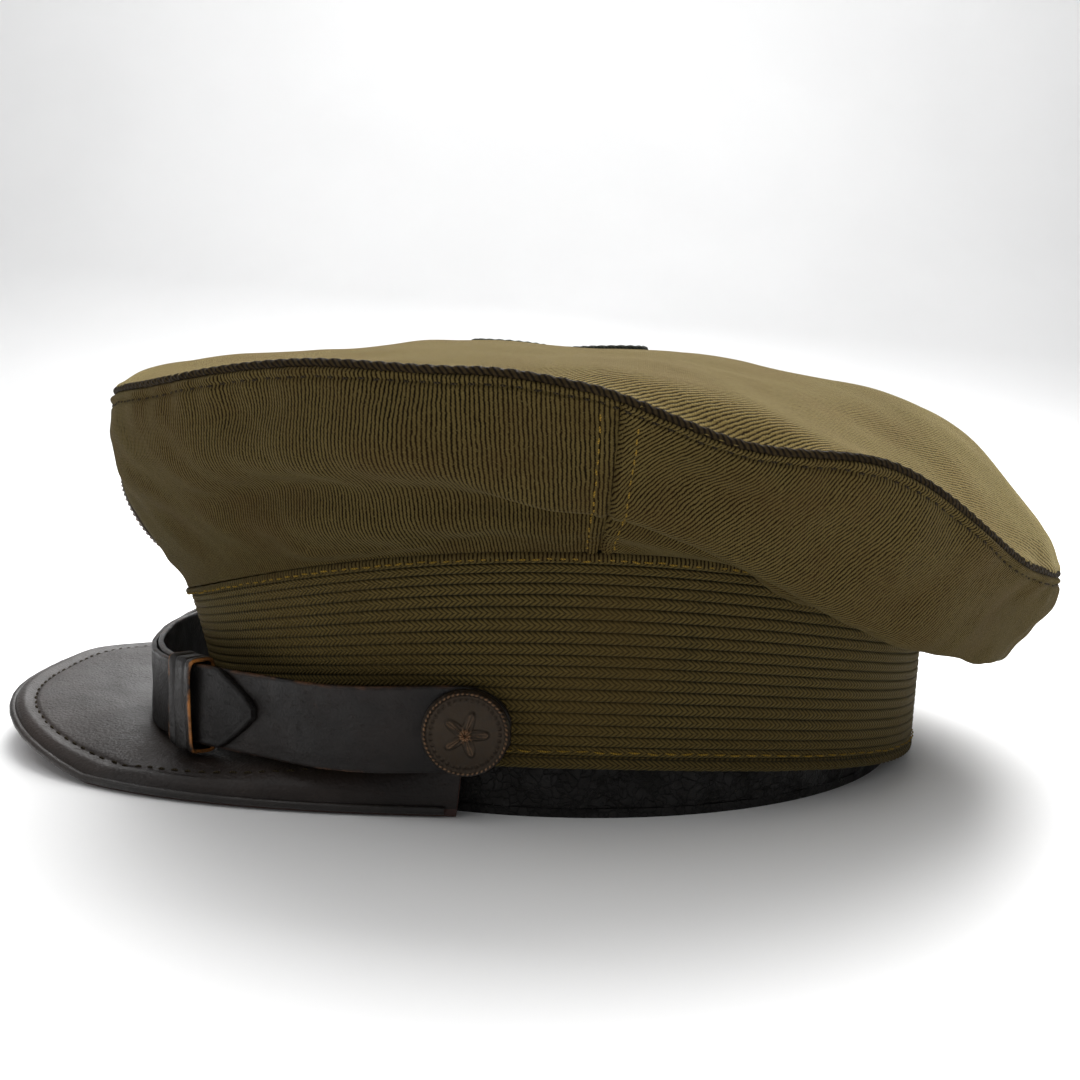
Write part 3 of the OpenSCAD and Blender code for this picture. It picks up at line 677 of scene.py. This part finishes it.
# how far a layer's face stands out, at a height v up the layer and an angle t
def ribs(v, t, P):
    k = np.mod(v / PITCH, 1)
    arch = np.abs(np.sin(math.pi * k)) ** 0.35 * (0.72 + 0.28 * np.abs(np.sin(2 * math.pi * k)) ** 0.6)
    worn = 0.35 * rumple(P, 46, 31) + 0.10 * rumple(P, 9, 32)
    return 0.50 * arch + worn * 0.6 - 0.1


def rolled(v, t, P):
    return 0.3 * np.sin(math.pi * v / 5) + 0.25 * rumple(P, 30, 41) + 0.10 * rumple(P, 6, 42)


def slanted(v, t, P):
    arch = 0.55 * np.sin(math.pi * np.clip(v / 3.4, 0, 1)) ** 0.6
    return arch + 0.16 * np.sin(np.radians(t) * BAND_RADIUS / 0.42 + v * 1.2) + 0.15 * rumple(P, 14, 44)


def peeling(v, t, P):
    return 0.5 * rumple(P, 26, 51) + 0.35 * rumple(P, 7, 52) - 0.35 * (rumple(P, 10, 53) > 0.35)


def folded(v, t, P):
    return 0.35 * rumple(P, 12, 54) * np.sin(math.pi * v / 2)


ring_layer("band_rows", BAND, 0.19, 1.93, (-1.2, -0.3), BRAID, "braid", "band_braid",
           rows=ROWS * 9 + 1, shape=ribs, height=ROWS * PITCH)
ring_layer("band_edge_cloth", BAND, 1.87, 2.0, (-2.3, -0.5), WOOL_EDGE, "wool", "band_top_edge",
           rows=14, shape=rolled, height=5)
ring_layer("hem_binding_braid", BAND, 0.0, 0.185, (-1.25, -0.3), BINDING, "braid", "hem_binding",
           rows=12, shape=slanted, height=3.4)
ring_layer("band_board", BAND, 0.02, 1.98, (0.0, 1.2), BOARD, "stiffener", "band_stiffener", height=45)
ring_layer("sweatband_old", SWEAT, 0, 2, SWEAT_DEPTHS, SWEATBAND, "sweat_leather", "sweatband",
           rows=60, shape=peeling, height=40)
ring_layer("sweatband_fold", REED, 0, 1, SWEAT_DEPTHS, SWEATBAND, "sweat_leather", "sweatband_reed",
           rows=6, shape=folded, height=2)


def band_line(s, t, out):
    p, n = skin(BAND, s, t), normal(BAND, s, t)
    return p + out * n, n


p, n = band_line(1.895, np.linspace(0, 360, 1600), 2.52)
rows = [stitches(p, n, 2.2, 0.6, 0.22, 61)]
p, n = band_line(0.235, np.linspace(60, 300, 1200), 1.95)
rows.append(stitches(p, n, 2.8, 1.2, 0.22, 62))
add("band_gold_stitches", *join(rows), GOLD, "cap", "wool")

# ---------------------------------------------------------------- inside layers
LINING_DEPTH = 9.0


def inside(depth):
    """The lining's outer face: up inside the side cloth, then under the top."""
    s_low = [0.5 + j * 0.3 for j in range(7)]
    low = [skin(SIDE, s, t_band) - (depth - 4) * normal(SIDE, s, t_band) for s in s_low]
    up = [skin(TOP, s, t_band) - depth * normal(TOP, s, t_band) for s in np.linspace(0.9, 3.97, 26)]
    return np.stack(low + up, 1)


G = inside(LINING_DEPTH)
G[..., 2] += 0.8 * rumple(G, 34, 71) + 0.4 * rumple(G, 12, 72)
h = np.linspace(0, 150, G.shape[1])
UV = np.stack(np.broadcast_arrays(AROUND[:, None], h[None, :]), -1)
add("lining_satin", *shell_parts(G, G - [0, 0, 0.8], UV, True), SATIN, "cap", "lining", "crown_lining")

tg = np.linspace(0, 360, 720)[:-1]
p = skin(SIDE, 4.0, tg) - 5.2 * normal(SIDE, 3.9, tg) - [0, 0, 4]
add("grommet_wire", *tube_parts(p, straight_up(p), 1.2, 10, True), WIRE, "cap", "wire", "crown_grommet")
t = np.linspace(-16, 16, 40)
s = np.linspace(0.35, 3.3, 30)
P, N = skin(SIDE, s[None, :], t[:, None]), normal(SIDE, s[None, :], t[:, None])
UV = np.stack(np.broadcast_arrays(t[:, None] * 1.9, s[None, :] * 14), -1)
add("stay_board", *shell_parts(P - 2.2 * N, P - 3.2 * N, UV, False), BOARD, "cap", "stiffener", "front_stay")

# ---------------------------------------------------------------- visor
# TIP is the visor's reach from the cap's centre and WIDE its half width. Its rim starts
# RIM_START in front of the centre. It is sewn to the band out to VISOR_REACH degrees on
# each side, with its underside VISOR_DROP below the band's lower edge.
TIP, WIDE, RIM_START, VISOR_REACH, VISOR_DROP = 150.0, 81.6, 24, 76, 3.9


def sgn_pow(v, p):
    return np.sign(v) * np.abs(v) ** p


def rim_xy(u):
    """The visor's rim in plan, from u = -1 to 1."""
    w = np.radians(90 * np.asarray(u, float))
    y = CY - RIM_START - (TIP - RIM_START) * np.maximum(np.cos(w), 0) ** 0.8
    return np.stack([WIDE * sgn_pow(np.sin(w), 0.8), y], -1)


def visor_point(u, v, up=0.0):
    """A point of the visor's underside, from the band at v = 0 to the rim at v = 1."""
    u, v = np.broadcast_arrays(np.asarray(u, float), np.asarray(v, float))
    t = VISOR_REACH * u
    outset = (2.2 - 3.2 * u ** 4)[..., None]
    inner = skin(BAND, 0, t) + outset * normal(BAND, 0 * u, t) - [0, 0, VISOR_DROP]
    rim = rim_xy(u)
    low = 9 * np.maximum(0, 1 - (np.abs(rim[..., 0]) / 66) ** 3)
    out = np.maximum(v, 0)
    arch = 1.8 * np.cos(np.radians(90 * u)) * np.sin(math.pi * out ** 0.8)
    z = inner[..., 2] + (low - inner[..., 2]) * out ** 0.9 + arch
    xy = inner[..., :2] + (rim - inner[..., :2]) * v[..., None]
    return np.concatenate([xy, (np.maximum(z, 0) + up)[..., None]], -1)


ROUGH_COLS, FINE_COLS = 34, 44
u = np.linspace(-1, 1, 261)
v = np.concatenate([np.linspace(-0.07, 0.78, ROUGH_COLS), np.linspace(0.79, 1.0, FINE_COLS)])
rim_line = rim_xy(np.linspace(-1, 1, 1201))


def rim_distance(P):
    flat = P[..., :2].reshape(-1, 2)
    square = (flat[:, None, 0] - rim_line[None, :, 0]) ** 2 + (flat[:, None, 1] - rim_line[None, :, 1]) ** 2
    return np.sqrt(np.min(square, 1)).reshape(P.shape[:-1])


def visor_layer(name, over, under, UV, mat, slot, node):
    add(name, *shell_parts(over[:, ::-1], under[:, ::-1], UV[:, ::-1], False), mat, "cap", slot, node)


P = visor_point(u[:, None], v[None, :])
far = np.full((len(u), ROUGH_COLS), 20.0)
d = np.concatenate([far, rim_distance(P[:, ROUGH_COLS:])], 1)
raised = 0.75 * np.exp(-((d - 2.2) / 1.5) ** 2) - 0.35 * bump(d, 5.0, 0.55)
raised = raised - 0.9 * (1 - smooth(d, 0, 1.0)) ** 2
warp = 0.35 * rumple(P, 48, 81) + 0.10 * rumple(P, 14, 82)
top = P + upright(3.2 + raised + warp)
UV = P[..., :2]
visor_layer("visor_top_leather", top, P + [0, 0, 1.95], UV, VISOR, "visor_leather", "visor_top")
rounded = upright(0.25 * (1 - smooth(d, 0, 1.2)))
visor_layer("visor_lower_leather", P + [0, 0, 0.85], P + rounded, UV, UNDER, "visor_lining",
            "visor_underside")
core = visor_point(0.96 * u[:, None], np.linspace(-0.05, 0.965, 12)[None, :])
visor_layer("visor_board", core + [0, 0, 1.8], core + [0, 0, 1.0], core[..., :2], BOARD, "stiffener",
            "visor_core")


def uneven(L, w):
    return 1 + 0.03 * np.sin(L * 0.9)


uw = np.linspace(-0.995, 0.995, 500)
du = unit(rim_xy(uw + 0.005) - rim_xy(uw - 0.005))
out_xy = np.stack([du[:, 1], -du[:, 0]], -1)
out_xy *= np.sign(np.sum(out_xy * (rim_xy(uw) - [0, -40]), 1))[:, None]
p = visor_point(uw, 1.0, 1.75)
p[:, :2] += out_xy * 0.45
add("visor_rim_welt", *tube_parts(p, straight_up(p), 0.95, 10, False, uneven), VISOR_EDGE, "cap",
    "visor_leather", "visor_edge_welt")

# the stitches follow the rim 5 mm in, at the height of the nearest point of the leather
us = uw * 0.96
target = rim_xy(us) - 5.0 * np.stack([np.interp(us, uw, out_xy[:, k]) for k in range(2)], -1)
flat = P[..., :2].reshape(-1, 2)
pick = np.array([np.argmin(((flat - q) ** 2).sum(1)) for q in target])
p = np.column_stack([target, top.reshape(-1, 3)[pick, 2]])
kernel = np.ones(9) / 9
p[:, 2] = np.convolve(np.pad(p[:, 2], 4, mode="edge"), kernel, "valid")
add("visor_stitches", *stitches(p, straight_up(p), 2.4, 1.3, 0.3, 91, sink=-0.02), DARK_THREAD, "cap",
    "visor_leather")

# ---------------------------------------------------------------- chin strap
# SEAT is how far from the middle plane the inner strap's back lies beside a button. Each
# strap runs from ROOT degrees on one side, past the button at BUTTON_ANGLE, round the
# front at about STRAP_Z, to END degrees on the other side. The outer strap lies
# OUTER_STRAP farther out.
SEAT, STRAP_Z, BUTTON_Z = 86.3, 18.0, 21.5
ROOT, END, BUTTON_ANGLE, KEEPER_ANGLE = 83, 50, 77, 38.0
STRAP_HALF, STRAP_THICK, OUTER_STRAP = 9.5, 1.5, 1.8


def strap_mid(t, out):
    """The middle line of a strap's back, out mm off the inner strap's back."""
    t = np.asarray(t, float)
    a = np.abs(t)
    turn = np.clip(a / BUTTON_ANGLE, 0, 1)
    side = np.sin(np.radians(90 * turn)) ** 2
    off = 12 - 10 * side + 6 * np.sin(np.radians(180 * turn)) ** 2 + out
    x = (85 + off) * np.sin(np.radians(a))
    x = x + (SEAT + out - x) * smooth(a, 50, 71)
    z = STRAP_Z + (BUTTON_Z - STRAP_Z) * side - 0.5 * bump(a, 40, 24)
    return np.stack([np.sign(t) * x, CY - (97.5 + off) * np.cos(np.radians(t)), z], -1)


def strap(name, t0, t1, out, seed, mat, node):
    """One strap: round at its root, a pointed tongue at its end, with a creased edge."""
    t = np.linspace(t0, t1, 320)
    near = np.minimum(t - t0, t1 - t)
    half = STRAP_HALF * np.where(near < 6, np.sqrt(np.clip(1 - 0.92 * (1 - near / 6) ** 2, 0, 1)), 1)
    tongue = np.where(abs(t1) < abs(t0), t1 - t, t - t0)
    half = np.minimum(half, STRAP_HALF * (0.12 + 0.88 * np.clip(tongue / 5.5, 0, 1) ** 0.8))
    k = np.sin(np.linspace(-math.pi / 2, math.pi / 2, 25))
    from_mid = np.abs(k) * half[:, None]

    def face(o, sign):
        P = strap_mid(t[:, None] + 0 * k[None, :], o)
        P[..., 2] += half[:, None] * k[None, :]
        P[..., 2] += (0.5 * np.sin(t / 13.0 + seed) + 0.25 * np.sin(t / 5.1))[:, None]
        tangent = np.gradient(strap_mid(t, o), axis=0)
        n = unit(np.cross(tangent, [0, 0, 1.0]))
        past = np.maximum(from_mid - (half[:, None] - 0.8), 0)
        rim_in = 1 - np.sqrt(np.clip(1 - past ** 2 / 0.64, 0, 1))
        d = sign * (-0.45 * rim_in) + 0.3 * rumple(P, 22, seed) + 0.10 * rumple(P, 6, seed + 1)
        if sign > 0:
            d = d - 0.14 * bump(half[:, None] - from_mid, 1.7, 0.32)
        return P + d[..., None] * n[:, None]

    UV = np.stack(np.broadcast_arrays(t[:, None] * 1.75, half[:, None] * k[None, :]), -1)
    add(name, *shell_parts(face(out + STRAP_THICK, 1), face(out, -1), UV, False), mat, "chin_strap",
        "dark_leather", node)


strap("chin_strap_inner", -END, ROOT, 0.0, 101, STRAP, "strap_left")
strap("chin_strap_outer", -ROOT, END, OUTER_STRAP, 104, STRAP_OUTER, "strap_right")


def keeper(side, seed):
    """A leather loop round both straps, creased along two lines."""
    p = strap_mid(side * KEEPER_ANGLE, 1.65)
    ahead, behind = strap_mid(side * (KEEPER_ANGLE + 2), 1.5), strap_mid(side * (KEEPER_ANGLE - 2), 1.5)
    d = unit(unit(ahead - behind) * [1, 1, 0])
    across = unit(np.cross(d, [0, 0, 1.0]))
    upward = np.array([0, 0, 1.0])
    w = np.linspace(0, 2 * math.pi, 129)[:-1]
    hx, hz, power = 3.6, 11.3, 0.28
    k = np.linspace(-1, 1, 31)
    edge = np.clip((np.abs(k) - 0.86) / 0.14, 0, 1)
    rounding = (1 - np.sqrt(np.clip(1 - edge ** 2, 0, 1)))[None, :]
    creases = (bump(k, 0.45, 0.09) + bump(k, -0.45, 0.09))[None, :]

    def loop(gx, gz, sign):
        X, Z = (hx + gx) * sgn_pow(np.cos(w), power), (hz + gz) * sgn_pow(np.sin(w), power)
        P = p + X[:, None, None] * across + Z[:, None, None] * upward + (5.0 * k)[None, :, None] * d
        n = unit(np.cos(w)[:, None] * across + (np.sin(w) ** 3)[:, None] * upward)
        e = sign * (-0.5 * rounding - 0.30 * creases) + 0.3 * rumple(P, 9, seed)
        return P + e[..., None] * n[:, None]

    UV = np.stack(np.broadcast_arrays(np.append(w, 2 * math.pi)[:, None] * 9, 9.5 * k[None, :] * 1.02), -1)
    name = "left_keeper" if side > 0 else "right_keeper"
    layer = shell_parts(loop(0, 0, 1)[:, ::-1], loop(-0.85, -0.9, -1)[:, ::-1], UV[:, ::-1], True)
    add(name + "_loop", *layer, KEEPER, name, "dark_leather", name)


keeper(1, 111)
keeper(-1, 112)

# ---------------------------------------------------------------- buttons and badge
BUTTON_Y = CY - 96.5 * math.cos(math.radians(BUTTON_ANGLE))
SHANK_END, BUTTON_GAP = 79.0, 0.2


def relief(r, a, R, petals):
    """Plain ornament on a round face: a rope rim, a ring of beads and a simple rosette."""
    q = r / R
    h = 1.9 * np.sqrt(np.clip(1 - (q * 0.93) ** 2, 0, 1)) - 0.7
    rope = bump(q, 0.93, 0.045) * (0.55 + 0.22 * np.cos(54 * a + 26 * q))
    bead = bump(q, 0.78, 0.035) * 0.34 * np.clip(np.cos(36 * a), 0, 1)
    petal = smooth(0.58 * (0.72 + 0.28 * np.cos(petals * a)) - q, 0, 0.10)
    star = 0.5 * petal * (0.75 + 0.25 * np.cos(2 * petals * a))
    vein = -0.16 * bump(np.sin(petals * a / 2), 0, 0.12) * (q < 0.5) * (q > 0.12)
    hub = 0.45 * smooth(0.16 - q, 0, 0.06)
    return h, 1.2 * (rope + bead + star + vein + hub)


def round_face(R, rim_h, petals, mound):
    """A domed face of radius R as a grid from its middle out to its rim and down to z = 0."""
    r = R * np.concatenate([np.linspace(0.004, 0.99, 74), [1.0, 1.0]])
    a = np.arange(216) * 2 * math.pi / 216
    h, ornament = relief(r[None, :-1], a[:, None], R, petals)
    z = rim_h + mound * h + ornament
    z = np.concatenate([z, np.zeros((len(a), 1))], 1)
    top = np.stack([r[None, :] * np.cos(a)[:, None], r[None, :] * np.sin(a)[:, None], z], -1)
    wear = np.concatenate([ornament, np.zeros((len(a), 1))], 1)
    UV = np.stack([np.broadcast_to(r[None, :], wear.shape), wear], -1)
    UV = np.concatenate([UV, UV[:1]])
    return top, UV


def stud(R, rim_h, petals, mound, back, shank_end, steps, shank_r, sides):
    """A round face with a shank behind it, on the z axis."""
    top, UV = round_face(R, rim_h, petals, mound)
    base = top.copy()
    base[..., 2] = np.minimum(back, top[..., 2])
    shank = upright(np.linspace(0.2, shank_end, steps))
    return join([shell_parts(top[:, ::-1], base[:, ::-1], UV[:, ::-1], True),
                 tube_parts(shank, np.tile([1.0, 0, 0], (steps, 1)), shank_r, sides)])


def button(side, seat, name):
    V, F, U = stud(9.4, 1.35, 5, 1.0, 0.0, -(seat - SHANK_END), 30, 1.5, 24)
    turned = np.stack([side * (seat + V[:, 2]), BUTTON_Y + side * V[:, 0], BUTTON_Z + V[:, 1]], -1)
    add(name + "_metal", turned, F, U, BRONZE, name, "bronze", name, sharp=55)


button(1, SEAT + STRAP_THICK + BUTTON_GAP, "left_button")
button(-1, SEAT + OUTER_STRAP + STRAP_THICK + BUTTON_GAP, "right_button")

# the badge stands on the front of the crown, square to the cloth
BADGE_AT, BADGE_OUT = 2.2, 2.4
n0, p0 = normal(SIDE, BADGE_AT, 0.0), skin(SIDE, BADGE_AT, 0.0)
side_x = np.array([1.0, 0, 0])
up0 = np.cross(n0, side_x)
V, F, U = stud(14.8, 1.0, 8, 0.75, -0.3, -6.4, 20, 1.3, 20)
V = p0 + n0 * BADGE_OUT + V[:, :1] * side_x + V[:, 1:2] * up0 + V[:, 2:] * n0
add("front_badge_metal", V, F, U, BRONZE, "cap", "bronze", "front_badge", sharp=55)


def plain_uv(o):
    """Weave coordinates for a CAD node that is kept as it is."""
    me = o.data
    layer = me.uv_layers.new(name="weave")
    co = np.array([me.vertices[l.vertex_index].co[:] for l in me.loops])
    layer.data.foreach_set("uv", (co[:, 1:3] * 1000).astype(np.float32).ravel())


KEPT_NODES = (("badge_nut", BRONZE, "bronze"), ("left_button_ring", WIRE, "wire"),
              ("right_button_ring", WIRE, "wire"))
for node, mat, slot in KEPT_NODES:
    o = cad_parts[node]
    plain_uv(o)
    o.data.materials.clear()
    o.data.materials.append(mat)

# ---------------------------------------------------------------- stage
def sweep(name, colour, rough):
    """A pale floor that curves up into a plain wall far behind the cap."""
    near_end, bend_start, bend_r, wall_top, half_width = 2.5, -0.9, 1.1, 3.5, 4.0
    bend = np.linspace(0, math.pi / 2, 24)
    line = [(near_end, 0.0)]
    line += [(bend_start - bend_r * math.sin(b), bend_r - bend_r * math.cos(b)) for b in bend]
    line += [(bend_start - bend_r, wall_top)]
    V = [(x, y, z) for x, z in line for y in (-half_width, half_width)]
    me = bpy.data.meshes.new(name)
    me.from_pydata(V, [], [(2 * k, 2 * k + 2, 2 * k + 3, 2 * k + 1) for k in range(len(line) - 1)])
    me.polygons.foreach_set("use_smooth", [True] * len(me.polygons))
    m = Mat(name)
    c = m.mix(m.remap(m.noise(3, 3), 0.3, 0.7), colour, toned(0.97, colour))
    me.materials.append(m.finish(c, rough))
    o = bpy.data.objects.new(name, me)
    bpy.context.scene.collection.objects.link(o)


sweep("floor", (0.90, 0.90, 0.90), 0.5)


def area(name, at, to, size, power):
    light = bpy.data.lights.new(name, "AREA")
    light.shape, light.size, light.size_y = "RECTANGLE", size[0], size[1]
    light.energy = power
    o = bpy.data.objects.new(name, light)
    o.location = at
    o.rotation_euler = (Vector(to) - Vector(at)).to_track_quat("-Z", "Y").to_euler()
    bpy.context.scene.collection.objects.link(o)


area("key", (-0.62, 0.12, 0.95), (0, 0, 0.05), (1.2, 1.2), 28)
area("overhead", (0.05, 0.05, 1.3), (0, 0, 0.0), (1.8, 1.8), 15)
area("front_fill", (0.6, -1.3, 0.7), (0, 0, 0.05), (0.8, 0.6), 2.2)
area("wall_wash", (-0.9, 0.0, 1.9), (-2.0, 0, 0.9), (2.4, 0.6), 17)

world = bpy.data.worlds.new("studio")
world.use_nodes = True
world.node_tree.nodes["Background"].inputs[0].default_value = (0.94, 0.945, 0.955, 1)
world.node_tree.nodes["Background"].inputs[1].default_value = 0.30
bpy.context.scene.world = world
bpy.context.scene.view_settings.view_transform = "Standard"

EYE = (0.30964, 0.00156, 0.08853)
cam = bpy.data.cameras.new("camera")
cam.sensor_width, cam.lens = 36, 35.79
cam_obj = bpy.data.objects.new("camera", cam)
pitch, roll = math.radians(6.62), math.radians(1.35)
look = Vector((-math.cos(pitch), 0, -math.sin(pitch)))
right = Vector((0, 1, 0))
up = right.cross(look)
right, up = math.cos(roll) * right + math.sin(roll) * up, math.cos(roll) * up - math.sin(roll) * right
rows = [(right[k], up[k], -look[k], EYE[k]) for k in range(3)]
cam_obj.matrix_world = Matrix((*rows, (0, 0, 0, 1)))
bpy.context.scene.collection.objects.link(cam_obj)
bpy.context.scene.camera = cam_obj
